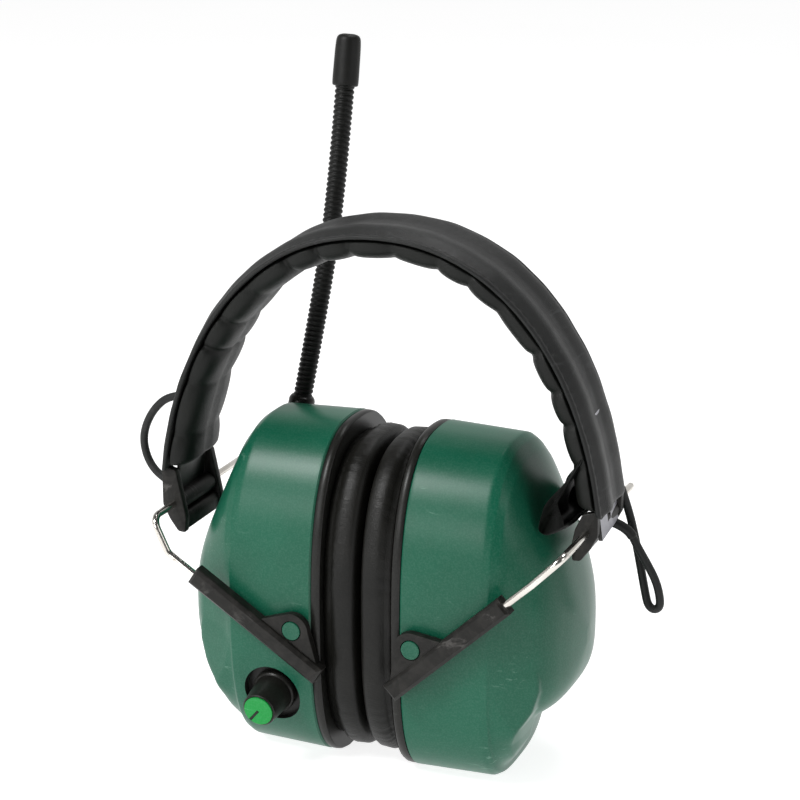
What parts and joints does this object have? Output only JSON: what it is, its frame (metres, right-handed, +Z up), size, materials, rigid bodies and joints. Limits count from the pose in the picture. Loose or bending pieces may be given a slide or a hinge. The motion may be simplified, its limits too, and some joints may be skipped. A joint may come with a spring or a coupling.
{
  "type": "earmuff hearing protector",
  "caption": "Padded headband with wire yokes holding hollow ear cups with soft sealing cushions, a volume knob and a flexible antenna.",
  "frame": {"origin": "on the resting surface, midway between the cups and midway between front and rear", "axes": "+X from the left cup to the right cup, -Y to the front (the volume knob), +Z up through the headband"},
  "size_m": [0.1788, 0.0868, 0.2289],
  "materials": {
    "green_shell": "satin moulded",
    "green_cap": "satin",
    "black_plastic": "satin",
    "arm_plastic": "satin, lightly scuffed",
    "wire": "bright nickel",
    "steel": "plain",
    "cushion_skin": "soft leatherette",
    "band_vinyl": "smooth vinyl",
    "pad_fabric": "quilted vinyl",
    "foam": "open foam",
    "lead_jacket": "satin",
    "antenna_rubber": "ribbed",
    "board": "lacquered"
  },
  "bodies": {
    "band_left": {"band_cover_left": "band_vinyl", "headband_pad_left": "pad_fabric", "spring_band_left": "steel"},
    "band_right": {"band_cover_right": "band_vinyl", "headband_pad_right": "pad_fabric", "spring_band_right": "steel"},
    "left_slider": {"left_end_bracket": "arm_plastic", "left_slide_plate": "black_plastic", "left_lead": "lead_jacket"},
    "right_slider": {"right_end_bracket": "arm_plastic", "right_slide_plate": "black_plastic", "right_lead": "lead_jacket"},
    "left_yoke": {"left_yoke_wire": "wire", "left_front_arm": "arm_plastic", "left_rear_arm": "arm_plastic"},
    "right_yoke": {"right_yoke_wire": "wire", "right_front_arm": "arm_plastic", "right_rear_arm": "arm_plastic"},
    "left_cup": {"left_shell": "green_shell", "left_back_plate": "black_plastic", "left_cushion": "cushion_skin", "left_foam_liner": "foam", "left_speaker": "black_plastic", "left_plate_screws": "steel", "volume_control": "steel", "circuit_board": "board", "antenna_whip": "antenna_rubber", "antenna_tip": "antenna_rubber", "antenna_collar": "black_plastic"},
    "right_cup": {"right_shell": "green_shell", "right_back_plate": "black_plastic", "right_cushion": "cushion_skin", "right_foam_liner": "foam", "right_speaker": "black_plastic", "right_plate_screws": "steel", "batteries": "steel", "battery_holder": "black_plastic"},
    "volume_knob": {"volume_knob": "black_plastic", "knob_cap": "green_cap", "volume_shaft": "steel"}
  },
  "joints": [
    {"name": "band_spread", "type": "hinge", "parent": "band_left", "child": "band_right", "pos_m": [0.00016, -0.00469, 0.1761], "axis": [0.068, -0.9977, 0], "range_deg": [0, 30], "stiffness_Nm_per_rad": 0.7, "springref_deg": -22.92},
    {"name": "left_adjust", "type": "slide", "parent": "band_left", "child": "left_slider", "axis": [-0.1388, -0.0095, -0.9903], "range_m": [-0.0055, 0.008], "deforming": ["left_lead"]},
    {"name": "left_swing", "type": "hinge", "parent": "left_slider", "child": "left_yoke", "pos_m": [-0.069, 0, 0.0814], "axis": [0, 1, 0], "range_deg": [-4, 22]},
    {"name": "left_tilt", "type": "hinge", "parent": "left_yoke", "child": "left_cup", "pos_m": [-0.0204, 0, 0.05], "axis": [0, 1, 0], "range_deg": [-6, 10], "deforming": ["left_cushion"]},
    {"name": "right_adjust", "type": "slide", "parent": "band_right", "child": "right_slider", "axis": [0.1388, 0.0095, -0.9903], "range_m": [0, 0.0135], "deforming": ["right_lead"]},
    {"name": "right_swing", "type": "hinge", "parent": "right_slider", "child": "right_yoke", "pos_m": [0.069, 0, 0.0872], "axis": [0, -1, 0], "range_deg": [-4, 22]},
    {"name": "right_tilt", "type": "hinge", "parent": "right_yoke", "child": "right_cup", "pos_m": [0.0204, 0, 0.05], "axis": [0, 1, 0], "range_deg": [-10, 6], "deforming": ["right_cushion"]},
    {"name": "volume_turn", "type": "hinge", "parent": "left_cup", "child": "volume_knob", "pos_m": [-0.0302, -0.0284, 0.0246], "axis": [0, 0.9903, 0.1392], "range_deg": [0, 300]}
  ]
}
